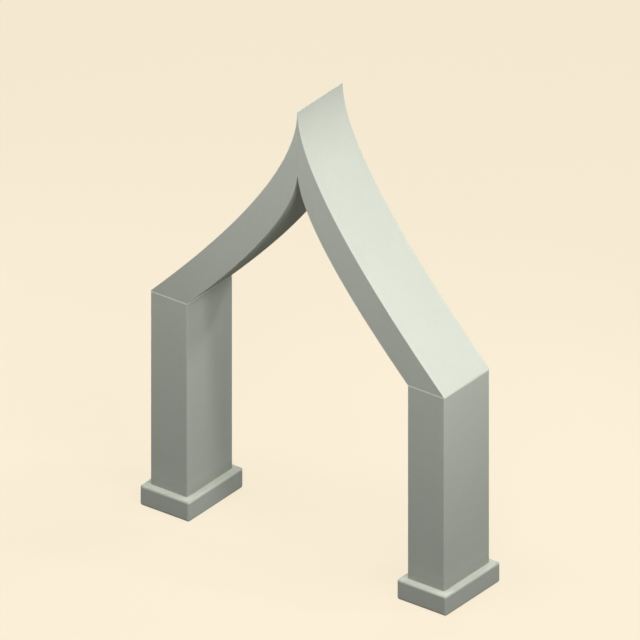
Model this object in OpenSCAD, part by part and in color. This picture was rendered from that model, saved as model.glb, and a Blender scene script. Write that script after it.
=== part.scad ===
// Pointed arch portal of cast stone: two piers on plinths carry two curved half ribs that
// lean together and meet in a sharp crown.
// X runs across the opening, Y through it and Z up. The origin is on the floor, under the
// crown, midway between the front and the back.

/* [Opening] */
// Clear width between the two piers
opening_w = 2400; // [1500:10:3200]
// Height of the springing, where the ribs start, above the floor
springing_h = 2134; // [1200:2:3200]
// Height of the crown's top edge above the springing
crown_rise = 2320; // [1800:2:3600]
// Height of the soffit's peak above the springing
soffit_rise = 1728; // [1240:2:2200]

/* [Piers] */
// Width of a pier across the opening, which is also the width of its rib's foot
pier_w = 400; // [240:5:600]
// Depth of the piers and ribs through the opening
pier_d = 658; // [300:2:1000]
// Radius of the rounded upright arrises of a pier
pier_arris = 12; // [4:1:25]

/* [Plinths] */
// Height of a plinth
plinth_h = 200; // [80:5:400]
// How far a plinth stands out from its pier on each side
plinth_out = 68; // [30:2:140]
// Radius of the rounded arrises of a plinth
plinth_arris = 23; // [6:1:30]

/* [Mortar] */
// Thickness of the bed under a rib
springing_bed_t = 12; // [4:1:20]
// How far the bed under a rib lies back from the faces of the stone
springing_bed_inset = 0.5; // [0.5:0.5:3]
// Thickness of the thin mortar under a pier and between the ribs
thin_joint_t = 2; // [2:0.5:12]
// How far the thin mortar lies back from the faces of the stone
thin_joint_inset = 2; // [0.5:0.5:3]
// Number of flats of the soffit's two curves, down from the peak, with mortar between them
filled_steps = 3; // [1:1:6]

/* [Ribs] */
// Number of flats that each curve of a rib is made with
curve_steps = 64; // [16:4:96]

/* [Hidden] */

left = -1;
right = 1;

// Distances from the middle of the opening
opening_half = opening_w / 2;
pier_x = opening_half + pier_w / 2;
outer_half = opening_half + pier_w;
crown_half = thin_joint_t / 2;

// Heights where the pieces meet
pier_foot_z = plinth_h + thin_joint_t;
pier_head_z = springing_h - springing_bed_t;

// Number of sides that stands for a true circle
round_fn = 64;

// Colours that tell the pieces apart
plinth_colour = "#a9aea3";
pier_colour = "#b2b7ac";
rib_colour = "#c3c8bc";
mortar_colour = "#dfe3d8";

// A rectangle with round corners of the radius r, centred on the origin
module rounded_rectangle(size, r) {
    square([size.x - 2 * r, size.y], center = true);
    square([size.x, size.y - 2 * r], center = true);
    for (x = [-1, 1], y = [-1, 1])
        translate([x * (size.x / 2 - r), y * (size.y / 2 - r)])
            circle(r = r, $fn = round_fn);
}

// A bar whose four long arrises are rounded, lying along Z and centred on the origin
module rounded_bar(size, length, r) {
    linear_extrude(height = length, center = true)
        rounded_rectangle(size, r);
}

// A block whose twelve arrises are rounded, standing on the middle of its base
module rounded_block(size, r) {
    translate([0, 0, size.z / 2])
        intersection() {
            rounded_bar([size.x, size.y], size.z, r);
            rotate([90, 0, 0]) rounded_bar([size.x, size.z], size.y, r);
            rotate([90, 0, 90]) rounded_bar([size.y, size.z], size.x, r);
        }
}

// A point of the parabola that drops upright from [crown_half, rise] at t = 0 and leans
// out at 45 degrees to reach the springing at [foot, 0] at t = 1
function curve_point(t, rise, foot) =
    (1 - t) ^ 2 * [crown_half, rise]
    + 2 * (1 - t) * t * [crown_half, foot - crown_half]
    + t ^ 2 * [foot, 0];

// The first points of that parabola, down from the crown
function curve(rise, foot, steps) =
    [for (i = [0 : steps]) curve_point(i / curve_steps, rise, foot)];

function reversed(points) =
    [for (i = [len(points) - 1 : -1 : 0]) points[i]];

module plinth(side) {
    size = [pier_w + 2 * plinth_out, pier_d + 2 * plinth_out, plinth_h];
    translate([side * pier_x, 0, 0])
        rounded_block(size, plinth_arris);
}

module pier(side) {
    translate([side * pier_x, 0, (pier_foot_z + pier_head_z) / 2])
        rounded_bar([pier_w, pier_d], pier_head_z - pier_foot_z, pier_arris);
}

// A mortar bed of the thickness t, on the height z and back from the faces by the inset
module bed(side, z, t, inset) {
    translate([side * pier_x, 0, z + t / 2])
        rounded_bar([pier_w - 2 * inset, pier_d - 2 * inset], t, pier_arris - inset);
}

module plinth_bed(side) {
    bed(side, plinth_h, thin_joint_t, thin_joint_inset);
}

module springing_bed(side) {
    bed(side, pier_head_z, springing_bed_t, springing_bed_inset);
}

// Half of the arch, from its foot on a pier to the joint at the crown
module rib(side) {
    soffit = curve(soffit_rise, opening_half, curve_steps);
    back = curve(crown_rise, outer_half, curve_steps);
    translate([0, 0, springing_h])
        mirror([side == left ? 1 : 0, 0, 0])
            rotate([90, 0, 0])
                linear_extrude(height = pier_d, center = true)
                    polygon(concat(soffit, reversed(back)));
}

// The upright mortar between the two ribs, which also fills the soffit's narrow peak
module crown_mortar() {
    top = [crown_half, crown_rise - thin_joint_inset];
    edge = concat([top], curve(soffit_rise, opening_half, filled_steps));
    far_edge = [for (point = reversed(edge)) [-point.x, point.y]];
    translate([0, 0, springing_h])
        rotate([90, 0, 0])
            linear_extrude(height = pier_d - 2 * thin_joint_inset, center = true)
                polygon(concat(edge, far_edge));
}

module left_plinth() { color(plinth_colour) plinth(left); }
module right_plinth() { color(plinth_colour) plinth(right); }
module left_plinth_bed() { color(mortar_colour) plinth_bed(left); }
module right_plinth_bed() { color(mortar_colour) plinth_bed(right); }
module left_pier() { color(pier_colour) pier(left); }
module right_pier() { color(pier_colour) pier(right); }
module left_springing_bed() { color(mortar_colour) springing_bed(left); }
module right_springing_bed() { color(mortar_colour) springing_bed(right); }
module left_rib() { color(rib_colour) rib(left); }
module right_rib() { color(rib_colour) rib(right); }
module crown_joint() { color(mortar_colour) crown_mortar(); }

left_plinth();
right_plinth();
left_plinth_bed();
right_plinth_bed();
left_pier();
right_pier();
left_springing_bed();
right_springing_bed();
left_rib();
right_rib();
crown_joint();
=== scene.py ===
"""Looks of a pointed arch portal of cast stone: its stones, its mortar and a pale stage.

The file is laid out as an add-on and is run as a script. Every stone takes its size and
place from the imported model, in metres, with +X across the opening, +Y through it and +Z up.
"""

import math
from typing import NamedTuple

import bpy
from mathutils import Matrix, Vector


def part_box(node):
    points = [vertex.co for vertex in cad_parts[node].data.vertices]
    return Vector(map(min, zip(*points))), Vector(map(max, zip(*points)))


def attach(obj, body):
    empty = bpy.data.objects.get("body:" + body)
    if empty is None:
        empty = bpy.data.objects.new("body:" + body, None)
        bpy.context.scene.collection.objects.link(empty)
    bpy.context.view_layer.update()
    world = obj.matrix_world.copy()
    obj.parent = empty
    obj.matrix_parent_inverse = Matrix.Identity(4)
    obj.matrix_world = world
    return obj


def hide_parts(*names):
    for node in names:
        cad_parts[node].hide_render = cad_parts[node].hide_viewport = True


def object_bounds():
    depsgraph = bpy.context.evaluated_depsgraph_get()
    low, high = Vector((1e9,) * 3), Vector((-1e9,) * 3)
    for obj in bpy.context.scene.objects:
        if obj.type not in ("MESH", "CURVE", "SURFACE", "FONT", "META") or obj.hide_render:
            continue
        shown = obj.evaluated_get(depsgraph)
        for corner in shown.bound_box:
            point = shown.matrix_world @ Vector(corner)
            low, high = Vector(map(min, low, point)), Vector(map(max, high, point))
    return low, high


bl_info = {
    "name": "Pointed Arch Portal",
    "version": (1, 0, 0),
    "blender": (4, 5, 0),
    "location": "3D View > Sidebar > Portal",
    "description": "Dresses a pointed arch portal of cast stone and lights it on a pale floor",
    "category": "Object",
}

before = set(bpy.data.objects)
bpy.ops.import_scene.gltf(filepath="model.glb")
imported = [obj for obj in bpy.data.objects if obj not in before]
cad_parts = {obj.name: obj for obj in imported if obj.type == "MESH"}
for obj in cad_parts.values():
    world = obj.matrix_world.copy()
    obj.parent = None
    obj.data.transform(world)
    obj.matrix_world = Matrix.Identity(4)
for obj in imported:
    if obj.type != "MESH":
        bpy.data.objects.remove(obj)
CAD_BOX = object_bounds()
BODY = "root"
SIDES = ("left", "right")

# Steps that round a quarter of an arris
ARRIS_STEPS = 5
# The flat of a stone starts with a strip this share of the arris wide, which holds it flat
HOLDING_STRIP = 0.25
# Faces that meet at a larger angle than this have a sharp edge between them
SHARPEST = math.radians(45)
# Height over which the painted shade on a pier's foot fades out under that foot
EDGE = 0.001
# Vertices closer than this to a plane lie in it
TOUCH = 1e-5
# Where the edge of an air pore starts and ends, out from the pore's radius
PORE_EDGE = (-0.0006, 0.0003)
# Width of the loose groups that sand grains lie in, in grains
GRAIN_GROUP = 1.6
# Specular level of a dry mineral surface, which hardly shines
DULL = 0.1
# Distance of the floor's edges from the portal, far outside the view
FLOOR_REACH = 30.0
# Distance of the camera, which doesn't change a view with parallel lines of sight
CAMERA_DISTANCE = 20.0


class Lamp(NamedTuple):
    """A square soft lamp that faces the middle of the portal."""

    # Direction round the portal from straight in front, and height above the horizon, in degrees
    azimuth: float
    elevation: float
    # Distance from the middle of the portal, and width, in metres
    distance: float
    width: float
    # Light on a surface that faces it in the middle: at 1 a colour shows as it is written
    level: float


LAMPS = {
    "front": Lamp(30, 35, 25, 5, 0.165),
    "front_near": Lamp(330, 35, 4.5, 1.6, 0.095),
    "front_low": Lamp(330, 5, 7, 2.5, 0.07),
    "front_top": Lamp(330, 75, 25, 5, 0.25),
    "front_right": Lamp(60, 45, 7, 2.5, 0.325),
    "right": Lamp(80, 32, 25, 2, 0.16),
    "right_near": Lamp(90, 20, 4.5, 1.6, 0.095),
    "right_top": Lamp(90, 75, 25, 5, 0.18),
    "back_right": Lamp(120, 58, 25, 1.2, 0.19),
    "back": Lamp(180, 20, 4.5, 1.6, 0.40),
    "back_left": Lamp(250, 4, 25, 5, 0.15),
    "left_low": Lamp(270, 5, 7, 2.5, 0.20),
}


# ---------------------------------------------------------------------------
# Settings
# ---------------------------------------------------------------------------

class StoneSettings(bpy.types.PropertyGroup):
    """Finish of the cast stone"""

    paste: bpy.props.FloatVectorProperty(
        name="Paste", description="Colour of the cement paste",
        subtype="COLOR", size=3, min=0, max=1, default=(0.575, 0.603, 0.526),
    )
    mottling: bpy.props.FloatProperty(
        name="Mottling", description="How far the paste's tone drifts across a stone",
        subtype="FACTOR", min=0, max=1, default=0.03,
    )
    cloud: bpy.props.FloatProperty(
        name="Cloud", description="Width of the broad soft clouds in the tone",
        unit="LENGTH", min=0.05, max=2, default=0.45,
    )
    patch: bpy.props.FloatProperty(
        name="Patch", description="Width of the small soft patches in the tone and the surface",
        unit="LENGTH", min=0.01, max=0.5, default=0.06,
    )
    unevenness: bpy.props.FloatProperty(
        name="Unevenness", description="Height of the small patches",
        unit="LENGTH", min=0, max=0.005, default=0.0004,
    )
    grain: bpy.props.FloatProperty(
        name="Grain", description="Size of the sand grains that show in the surface",
        unit="LENGTH", min=0.0005, max=0.01, default=0.0025,
    )
    grain_tone: bpy.props.FloatProperty(
        name="Grain tone", description="How far the tone of the grains differs",
        subtype="FACTOR", min=0, max=1, default=0.10,
    )
    grain_height: bpy.props.FloatProperty(
        name="Grain height", description="How far the highest grains stand out",
        unit="LENGTH", min=0, max=0.001, default=0.00006,
    )
    roughness: bpy.props.FloatProperty(
        name="Roughness", description="Mean roughness of the surface",
        subtype="FACTOR", min=0, max=1, default=0.78,
    )
    roughness_spread: bpy.props.FloatProperty(
        name="Roughness spread", description="How far the roughness varies with the grains",
        subtype="FACTOR", min=0, max=1, default=0.20,
    )
    pore: bpy.props.FloatProperty(
        name="Pore", description="Radius of the largest air pores",
        unit="LENGTH", min=0, max=0.01, default=0.0022,
    )
    pore_spacing: bpy.props.FloatProperty(
        name="Pore spacing", description="Usual distance from one air pore to the next",
        unit="LENGTH", min=0.01, max=0.5, default=0.05,
    )
    pore_share: bpy.props.FloatProperty(
        name="Pore share", description="Share of the places for an air pore that have one",
        subtype="FACTOR", min=0, max=1, default=0.55,
    )
    pore_depth: bpy.props.FloatProperty(
        name="Pore depth", description="Depth of the air pores",
        unit="LENGTH", min=0, max=0.01, default=0.0012,
    )
    pore_shade: bpy.props.FloatProperty(
        name="Pore shade", description="How much darker an air pore is than the paste",
        subtype="FACTOR", min=0, max=1, default=0.45,
    )
    # Painted shade: the foot of each pier is darkened, fading out over the rise above it
    painted_foot_shade: bpy.props.FloatProperty(
        name="Damp", description="How much darker the foot of a pier is than its shaft",
        subtype="FACTOR", min=0, max=1, default=0.20,
    )
    painted_shade_rise: bpy.props.FloatProperty(
        name="Damp rise", description="Height over its foot at which a pier is dry",
        unit="LENGTH", min=0.01, max=2, default=0.12,
    )
    rib_arris: bpy.props.FloatProperty(
        name="Rib arris", description="Radius of the eased arrises of a rib",
        unit="LENGTH", min=0.0005, max=0.01, default=0.001,
    )
    cell: bpy.props.FloatProperty(
        name="Mesh cell", description="Usual size of the faces that a stone's flats are divided into",
        unit="LENGTH", min=0.005, max=0.2, default=0.025,
    )


class MortarSettings(bpy.types.PropertyGroup):
    """Finish of the mortar in the joints"""

    # Much paler than the stone, so the bed at each pier's head shows as a pale line: partly the
    # mortar's own colour, partly a painted highlight along that joint
    colour: bpy.props.FloatVectorProperty(
        name="Colour", description="Colour of the dry mortar",
        subtype="COLOR", size=3, min=0, max=1, default=(0.90, 0.94, 0.83),
    )
    sand: bpy.props.FloatProperty(
        name="Sand", description="Size of the sand grains that show in the surface",
        unit="LENGTH", min=0.0005, max=0.01, default=0.0015,
    )
    lump: bpy.props.FloatProperty(
        name="Lump", description="Width of the lumps in the surface",
        unit="LENGTH", min=0.002, max=0.1, default=0.012,
    )
    sand_tone: bpy.props.FloatProperty(
        name="Sand tone", description="How far the tone of the sand differs",
        subtype="FACTOR", min=0, max=1, default=0.30,
    )
    unevenness: bpy.props.FloatProperty(
        name="Unevenness", description="Height of the lumps",
        unit="LENGTH", min=0, max=0.005, default=0.0008,
    )
    roughness: bpy.props.FloatProperty(
        name="Roughness", description="Mean roughness of the surface",
        subtype="FACTOR", min=0, max=1, default=0.90,
    )
    roughness_spread: bpy.props.FloatProperty(
        name="Roughness spread", description="How far the roughness varies with the sand",
        subtype="FACTOR", min=0, max=1, default=0.10,
    )


class StageSettings(bpy.types.PropertyGroup):
    """Floor, lamps and camera"""

    floor: bpy.props.FloatVectorProperty(
        name="Floor", description="Colour of the pale floor and backdrop",
        subtype="COLOR", size=3, min=0, max=1, default=(0.952, 0.850, 0.671),
    )
    shadow: bpy.props.FloatProperty(
        name="Shadow", description="How strongly the portal's shadow shows on the floor",
        subtype="FACTOR", min=0, max=1, default=0.12,
    )
    bounce: bpy.props.FloatProperty(
        name="Bounce", description="Share of the light that the floor throws back at the portal",
        subtype="FACTOR", min=0, max=1, default=0.07,
    )
    sky: bpy.props.FloatProperty(
        name="Sky", description="Level of the even light from all round",
        subtype="FACTOR", min=0, max=1, default=0.03,
    )
    azimuth: bpy.props.FloatProperty(
        name="Azimuth", description="Direction of the camera round the portal, from straight in front",
        subtype="ANGLE", default=math.radians(36.87),
    )
    elevation: bpy.props.FloatProperty(
        name="Elevation", description="Height of the camera above the horizon, as an angle",
        subtype="ANGLE", default=math.radians(29.27),
    )
    view_width: bpy.props.FloatProperty(
        name="View width", description="Width that the camera takes in",
        unit="LENGTH", min=0.1, default=5.579,
    )
    view_rise: bpy.props.FloatProperty(
        name="View rise", description="How far the view's middle lies above the portal's",
        unit="LENGTH", default=0.0027,
    )


# ---------------------------------------------------------------------------
# Stone shapes
# ---------------------------------------------------------------------------

def stations(length, arris, cell):
    """Distances along one side of a stone: over its arrises, their holding strips and its flat."""
    strip = arris * (1 + HOLDING_STRIP)
    flat = length - 2 * strip
    cells = max(1, round(flat / cell))
    inner = [strip + flat * i / cells for i in range(cells + 1)]
    if arris == 0:
        return inner
    quarter = [
        arris * (1 - math.tan(math.pi / 4 * (1 - i / ARRIS_STEPS)))
        for i in range(ARRIS_STEPS + 1)
    ]
    return quarter + inner + [length - d for d in reversed(quarter)]


def stone_mesh(name, place, lengths, arrises, cell):
    """A closed mesh of a block with six sides and rounded arrises.

    place turns three shares from 0 to 1 into a point of the sharp block, and the faces look
    outwards if the shares' directions are right-handed. lengths are the distances that those
    shares run over and arrises are the radii of the arrises, or 0 along the axis at whose ends
    the block is square.
    """
    rows = [stations(length, arris, cell) for length, arris in zip(lengths, arrises)]
    ends = [len(row) - 1 for row in rows]
    numbers = {}
    points = []

    def shares(distances):
        return [d / length for d, length in zip(distances, lengths)]

    def vertex(key):
        if key not in numbers:
            at = [row[i] for row, i in zip(rows, key)]
            core = [
                min(max(d, arris), length - arris)
                for d, arris, length in zip(at, arrises, lengths)
            ]
            heart = place(*shares(core))
            radius = max(abs(a - c) for a, c in zip(at, core))
            numbers[key] = len(points)
            points.append(heart + (place(*shares(at)) - heart).normalized() * radius)
        return numbers[key]

    faces = []
    for axis in range(3):
        u, v = (axis + 1) % 3, (axis + 2) % 3
        for end in (0, ends[axis]):
            for i in range(ends[u]):
                for j in range(ends[v]):
                    corners = [(i, j), (i + 1, j), (i + 1, j + 1), (i, j + 1)]
                    face = []
                    for a, b in corners if end else reversed(corners):
                        key = [0, 0, 0]
                        key[axis], key[u], key[v] = end, a, b
                        face.append(vertex(tuple(key)))
                    faces.append(face)
    mesh = bpy.data.meshes.new(name)
    mesh.from_pydata(points, [], faces)
    mesh.shade_smooth()
    mesh.set_sharp_from_angle(angle=SHARPEST)
    return mesh


def block_mesh(name, node, cell, square_ends=False):
    """The rounded block of a plinth or a pier, as large as its node and with its arrises."""
    low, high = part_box(node)
    size = high - low
    arris = block_arris(node)

    def place(x, y, z):
        return low + Vector((x * size.x, y * size.y, z * size.z))

    return stone_mesh(name, place, size, (arris, arris, 0 if square_ends else arris), cell)


def block_arris(node):
    """The radius of a block's upright arrises: how far its flat front lies in from its side."""
    low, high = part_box(node)
    front = [v.co.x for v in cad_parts[node].data.vertices if v.co.y - low.y < TOUCH]
    return min(front) - low.x


def curve_point(t, start, foot):
    """A point of the parabola that drops upright from start and leans out at 45 degrees to foot."""
    reach = foot.x - start.x
    bend = Vector((start.x, foot.y + abs(reach)))
    return (1 - t) ** 2 * start + 2 * (1 - t) * t * bend + t ** 2 * foot


def rib_outline(side):
    """The crown's and the foot's point of a rib's soffit, and those of its back."""
    low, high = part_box(f"{side}_rib")
    corners = [v.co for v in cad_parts[f"{side}_rib"].data.vertices]
    foot = [corner.x for corner in corners if corner.z - low.z < TOUCH]
    inner_x, outer_x = sorted((min(foot), max(foot)), key=abs)
    crown_x = min(low.x, high.x, key=abs)
    peak_z = min(corner.z for corner in corners if abs(corner.x - crown_x) < TOUCH)
    soffit = Vector((crown_x, peak_z)), Vector((inner_x, low.z))
    back = Vector((crown_x, high.z)), Vector((outer_x, low.z))
    return soffit, back


def rib_mesh(name, side, arris, cell):
    """A half rib between its soffit's and its back's parabola, from the crown to its foot."""
    low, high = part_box(f"{side}_rib")
    soffit, back = rib_outline(side)
    depth = high.y - low.y

    def place(along, across, through):
        inside = curve_point(along, *soffit)
        outside = curve_point(along, *back)
        # Across runs from right to left on both ribs, which is right-handed with down and back
        at = inside.lerp(outside, across if side == "left" else 1 - across)
        return Vector((at.x, low.y + through * depth, at.y))

    width = abs(back[1].x - soffit[1].x)
    return stone_mesh(name, place, (high.z - low.z, width, depth), (arris,) * 3, cell)


# ---------------------------------------------------------------------------
# Shaders
# ---------------------------------------------------------------------------

class Value:
    """A number that varies over a surface, so that it adds up like one in an expression."""

    def __init__(self, shader, socket):
        self.shader = shader
        self.socket = socket

    def math(self, operation, *terms):
        node = self.shader.node("ShaderNodeMath", {"operation": operation}, dict(enumerate(terms)))
        return Value(self.shader, node.outputs[0])

    def __add__(self, other):
        return self.math("ADD", self, other)

    def __sub__(self, other):
        return self.math("SUBTRACT", self, other)

    def __rsub__(self, other):
        return self.math("SUBTRACT", other, self)

    def __mul__(self, other):
        return self.math("MULTIPLY", self, other)

    def __truediv__(self, other):
        return self.math("DIVIDE", self, other)

    def __rtruediv__(self, other):
        return self.math("DIVIDE", other, self)

    __radd__ = __add__
    __rmul__ = __mul__


class Shader:
    """Builds the nodes of one material or world."""

    def __init__(self, owner, output="ShaderNodeOutputMaterial"):
        self.owner = owner
        self.output = output
        owner.use_nodes = True
        self.tree = owner.node_tree
        self.tree.nodes.clear()

    def node(self, kind, settings, sockets):
        """Adds a node of a kind, with its settings first and then what its sockets hold."""
        node = self.tree.nodes.new(kind)
        for name, setting in settings.items():
            setattr(node, name, setting)
        for key, held in sockets.items():
            if isinstance(held, Value):
                held = held.socket
            if isinstance(held, bpy.types.Node):
                held = held.outputs[0]
            if isinstance(held, bpy.types.NodeSocket):
                self.tree.links.new(held, node.inputs[key])
            else:
                node.inputs[key].default_value = held
        return node

    def position(self):
        """Where a point lies in the portal, in metres."""
        return self.node("ShaderNodeTexCoord", {}, {}).outputs["Object"]

    def noise(self, size, detail):
        """Soft noise from -0.5 to 0.5 whose largest spots are about the size wide."""
        sockets = {"Vector": self.position(), "Scale": 1 / size, "Detail": detail}
        return Value(self, self.node("ShaderNodeTexNoise", {}, sockets).outputs["Fac"]) - 0.5

    def cells(self, size):
        """Cells about the size wide: the distance to a cell's middle, and its random number."""
        sockets = {"Vector": self.position(), "Scale": 1 / size}
        node = self.node("ShaderNodeTexVoronoi", {}, sockets)
        colour = self.node("ShaderNodeSeparateColor", {}, {"Color": node.outputs["Color"]})
        distance = Value(self, node.outputs["Distance"]) * size
        return distance, Value(self, colour.outputs["Red"])

    def step(self, value, low, high):
        """Runs smoothly from 0 to 1 as a value goes from low to high."""
        sockets = {"Value": value, "From Min": low, "From Max": high}
        settings = {"interpolation_type": "SMOOTHSTEP"}
        return Value(self, self.node("ShaderNodeMapRange", settings, sockets).outputs[0])

    def height(self):
        """How high a point lies over the floor, in metres."""
        node = self.node("ShaderNodeSeparateXYZ", {}, {"Vector": self.position()})
        return Value(self, node.outputs["Z"])

    def tint(self, colour, tone):
        """A colour made lighter or darker by a tone near 1."""
        grey = self.node("ShaderNodeCombineXYZ", {}, {0: tone, 1: tone, 2: tone}).outputs[0]
        settings = {"operation": "MULTIPLY"}
        return self.node("ShaderNodeVectorMath", settings, {0: colour, 1: grey}).outputs[0]

    def bump(self, height):
        """A normal from a height in metres."""
        sockets = {"Height": height, "Distance": 1.0}
        return self.node("ShaderNodeBump", {}, sockets).outputs["Normal"]

    def seen(self):
        """1 to the camera and in reflections, and 0 where a surface lights others."""
        rays = self.node("ShaderNodeLightPath", {}, {}).outputs
        camera, glossy, clear = (
            Value(self, rays[f"Is {kind} Ray"]) for kind in ("Camera", "Glossy", "Transmission")
        )
        return camera + glossy + clear

    def mix(self, share, first, second):
        """A surface that is the first one at a share of 0 and the second one at 1."""
        return self.node("ShaderNodeMixShader", {}, {0: share, 1: first, 2: second})

    def finish(self, surface):
        """Ends the nodes in a surface's node."""
        self.node(self.output, {}, {"Surface": surface})
        return self.owner


def air_pores(shader, stone):
    """1 inside the few round air pores, and 0 around them."""
    distance, chance = shader.cells(stone.pore_spacing)
    radius = stone.pore * shader.step(chance, 1 - stone.pore_share, 1.0)
    return 1 - shader.step(distance - radius, *PORE_EDGE)


def painted_shade_mask(shader, stone):
    """Where shade is painted: 1 at the foot of a pier, down to 0 higher up, and 0 on the plinths."""
    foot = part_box("left_pier")[0].z
    height = shader.height()
    on_pier = shader.step(height, foot - EDGE, foot)
    return on_pier - shader.step(height, foot, foot + stone.painted_shade_rise)


def cast_stone(stone):
    """Fair-faced cast stone: cement paste with fine sand, soft mottling, a few air pores and painted
    shade over the foot of each pier.
    """
    shader = Shader(bpy.data.materials.new("cast_stone"))
    clouds = shader.noise(stone.cloud, detail=4.0)
    patches = shader.noise(stone.patch, detail=3.0)
    speckle = shader.noise(stone.grain * GRAIN_GROUP, detail=1.0)
    _, grain = shader.cells(stone.grain)
    pore = air_pores(shader, stone)

    # The first term is painted shade that darkens the foot of each pier; the rest is the stone's own
    # mottled and grainy tone
    tone = (
        1 - painted_shade_mask(shader, stone) * stone.painted_foot_shade + (clouds * 2 + patches) * stone.mottling
        + (speckle + grain - 0.5) * stone.grain_tone
    )
    relief = (
        patches * stone.unevenness + speckle * (stone.unevenness / 2)
        + grain * stone.grain_height - pore * stone.pore_depth
    )
    sockets = {
        "Base Color": shader.tint(tuple(stone.paste), tone * (1 - pore * stone.pore_shade)),
        "Roughness": stone.roughness + speckle * stone.roughness_spread,
        "Normal": shader.bump(relief),
        "Specular IOR Level": DULL,
    }
    return shader.finish(shader.node("ShaderNodeBsdfPrincipled", {}, sockets))


def mortar_and_painted_highlight(mortar):
    """Sandy mortar, much lighter than the stone: its paleness is partly the mortar's own colour and
    partly a painted highlight along the head of each pier.
    """
    shader = Shader(bpy.data.materials.new("mortar_and_painted_highlight"))
    sand = shader.noise(mortar.sand, detail=2.0)
    lumps = shader.noise(mortar.lump, detail=3.0)
    sockets = {
        "Base Color": shader.tint(tuple(mortar.colour), 1 + (sand + lumps / 2) * mortar.sand_tone),
        "Roughness": mortar.roughness + sand * mortar.roughness_spread,
        "Normal": shader.bump((sand / 2 + lumps) * mortar.unevenness),
        "Specular IOR Level": DULL,
    }
    return shader.finish(shader.node("ShaderNodeBsdfPrincipled", {}, sockets))


# ---------------------------------------------------------------------------
# Operators
# ---------------------------------------------------------------------------

def material_of(name, make, settings):
    """The material of a name, made once."""
    return bpy.data.materials.get(name) or make(settings)


def add_stone(name, mesh, node, settings):
    """Shows a stone in place of its node."""
    mesh.materials.append(material_of("cast_stone", cast_stone, settings))
    piece = bpy.data.objects.new(name, mesh)
    bpy.context.scene.collection.objects.link(piece)
    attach(piece, BODY)
    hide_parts(node)
    return piece


class PORTAL_OT_plinths(bpy.types.Operator):
    """Carve the two plinths with their rounded arrises"""

    bl_idname = "portal.plinths"
    bl_label = "Plinths"

    def execute(self, context):
        stone = context.scene.portal_stone
        for side in SIDES:
            name = f"{side}_plinth_stone"
            add_stone(name, block_mesh(name, f"{side}_plinth", stone.cell), f"{side}_plinth", stone)
        return {"FINISHED"}


class PORTAL_OT_piers(bpy.types.Operator):
    """Carve the two piers with their rounded arrises"""

    bl_idname = "portal.piers"
    bl_label = "Piers"

    def execute(self, context):
        stone = context.scene.portal_stone
        for side in SIDES:
            name = f"{side}_pier_stone"
            mesh = block_mesh(name, f"{side}_pier", stone.cell, square_ends=True)
            add_stone(name, mesh, f"{side}_pier", stone)
        return {"FINISHED"}


class PORTAL_OT_ribs(bpy.types.Operator):
    """Carve the two curved half ribs"""

    bl_idname = "portal.ribs"
    bl_label = "Ribs"

    def execute(self, context):
        stone = context.scene.portal_stone
        for side in SIDES:
            name = f"{side}_rib_stone"
            mesh = rib_mesh(name, side, stone.rib_arris, stone.cell)
            add_stone(name, mesh, f"{side}_rib", stone)
        return {"FINISHED"}


class PORTAL_OT_mortar(bpy.types.Operator):
    """Give the beds and the crown joint their mortar, whose pale colour is partly a painted highlight
    at the pier heads
    """

    bl_idname = "portal.mortar"
    bl_label = "Mortar"

    def execute(self, context):
        mortar = context.scene.portal_mortar
        finish = material_of("mortar_and_painted_highlight", mortar_and_painted_highlight, mortar)
        # The pale mortar, partly a painted highlight, goes on every bed and on the crown joint
        for name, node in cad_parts.items():
            if name.endswith("_bed") or name == "crown_joint":
                node.material_slots[0].material = finish
        return {"FINISHED"}


class PORTAL_OT_stage(bpy.types.Operator):
    """Set the pale floor, the soft lamps and the camera"""

    bl_idname = "portal.stage"
    bl_label = "Stage"

    def execute(self, context):
        stage = context.scene.portal_stage
        add_floor(stage)
        for name, lamp in LAMPS.items():
            add_lamp(f"{name}_lamp", lamp)
        context.scene.world = sky_world(stage)
        add_camera(stage)
        context.scene.view_settings.view_transform = "Standard"
        return {"FINISHED"}


def add_floor(stage):
    """A pale floor far wider than the view."""
    mesh = bpy.data.meshes.new("floor")
    signs = ((-1, -1), (1, -1), (1, 1), (-1, 1))
    corners = [(x * FLOOR_REACH, y * FLOOR_REACH, 0) for x, y in signs]
    mesh.from_pydata(corners, [], [(0, 1, 2, 3)])
    floor = bpy.data.objects.new("floor", mesh)
    bpy.context.scene.collection.objects.link(floor)
    mesh.materials.append(floor_material(stage))


def floor_material(stage):
    """A matt pale floor that keeps the portal's shadow, and throws little light back at it."""
    shader = Shader(bpy.data.materials.new("pale_floor"))
    pale = (*stage.floor, 1.0)
    even = shader.node("ShaderNodeEmission", {}, {"Color": pale, "Strength": 1.0})
    lit = shader.node("ShaderNodeBsdfDiffuse", {}, {"Color": pale})
    dull = shader.node("ShaderNodeBsdfDiffuse", {}, {"Color": (*[stage.bounce] * 3, 1.0)})
    return shader.finish(shader.mix(shader.seen(), dull, shader.mix(stage.shadow, even, lit)))


def sky_world(stage):
    """A backdrop as pale as the floor, and a faint even light."""
    shader = Shader(bpy.data.worlds.new("sky"), "ShaderNodeOutputWorld")
    white = (1.0, 1.0, 1.0, 1.0)
    faint = shader.node("ShaderNodeBackground", {}, {"Color": white, "Strength": stage.sky})
    pale = shader.node("ShaderNodeBackground", {}, {"Color": (*stage.floor, 1.0), "Strength": 1.0})
    return shader.finish(shader.mix(shader.seen(), faint, pale))


def direction(azimuth, elevation):
    """The way towards an azimuth round the portal, from straight in front, and an elevation."""
    across = math.cos(elevation)
    return Vector((math.sin(azimuth) * across, -math.cos(azimuth) * across, math.sin(elevation)))


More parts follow.
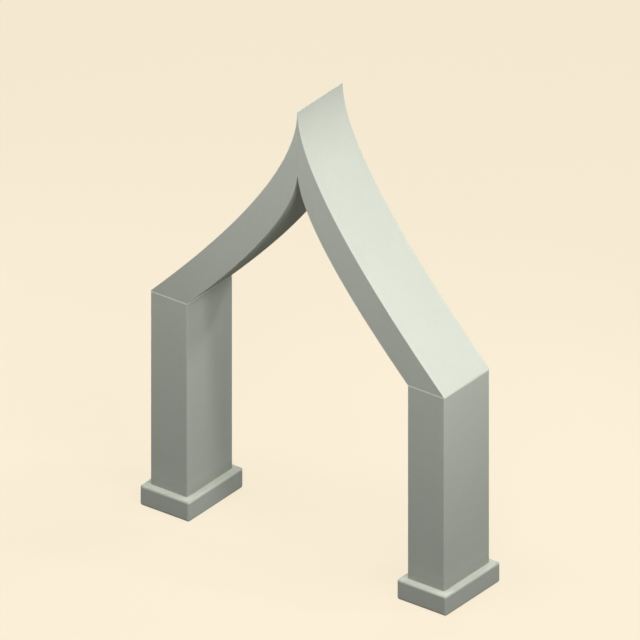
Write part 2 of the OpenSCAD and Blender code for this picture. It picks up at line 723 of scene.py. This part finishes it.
def add_lamp(name, lamp):
    """A lamp of the table, as strong as its level asks at its distance."""
    data = bpy.data.lights.new(name, "AREA")
    data.size = lamp.width
    # A small square lamp of 1 W gives a level of 1 / (pi * distance) ** 2
    data.energy = lamp.level * (math.pi * lamp.distance) ** 2
    low, high = CAD_BOX
    away = direction(math.radians(lamp.azimuth), math.radians(lamp.elevation))
    piece = bpy.data.objects.new(name, data)
    piece.location = (low + high) / 2 + away * lamp.distance
    piece.rotation_euler = away.to_track_quat("Z", "Y").to_euler()
    bpy.context.scene.collection.objects.link(piece)


def add_camera(stage):
    """A camera with parallel lines of sight, which looks down at the front and the right side."""
    data = bpy.data.cameras.new("camera")
    data.type = "ORTHO"
    data.ortho_scale = stage.view_width
    away = direction(stage.azimuth, stage.elevation)
    turn = away.to_track_quat("Z", "Y")
    low, high = CAD_BOX
    camera = bpy.data.objects.new("camera", data)
    camera.rotation_mode = "QUATERNION"
    camera.rotation_quaternion = turn
    rise = turn @ Vector((0, stage.view_rise, 0))
    camera.location = (low + high) / 2 + rise + away * CAMERA_DISTANCE
    bpy.context.scene.collection.objects.link(camera)
    bpy.context.scene.camera = camera


class VIEW3D_PT_portal(bpy.types.Panel):
    """Buttons for the portal's pieces and its stage"""

    bl_label = "Portal"
    bl_idname = "VIEW3D_PT_portal"
    bl_space_type = "VIEW_3D"
    bl_region_type = "UI"
    bl_category = "Portal"

    def draw(self, context):
        for operator in OPERATORS:
            self.layout.operator(operator.bl_idname)
        for name, group in SETTINGS.items():
            box = self.layout.box()
            for setting in group.__annotations__:
                box.prop(getattr(context.scene, name), setting)


SETTINGS = {
    "portal_stone": StoneSettings,
    "portal_mortar": MortarSettings,
    "portal_stage": StageSettings,
}
OPERATORS = (
    PORTAL_OT_plinths, PORTAL_OT_piers, PORTAL_OT_ribs, PORTAL_OT_mortar, PORTAL_OT_stage,
)


def register():
    for group in (*SETTINGS.values(), *OPERATORS, VIEW3D_PT_portal):
        bpy.utils.register_class(group)
    for name, group in SETTINGS.items():
        setattr(bpy.types.Scene, name, bpy.props.PointerProperty(type=group))


def unregister():
    for name in SETTINGS:
        delattr(bpy.types.Scene, name)
    for group in (VIEW3D_PT_portal, *reversed(OPERATORS), *reversed(SETTINGS.values())):
        bpy.utils.unregister_class(group)


def main():
    register()
    bpy.ops.portal.plinths()
    bpy.ops.portal.piers()
    bpy.ops.portal.ribs()
    bpy.ops.portal.mortar()
    bpy.ops.portal.stage()


if __name__ == "__main__":
    main()
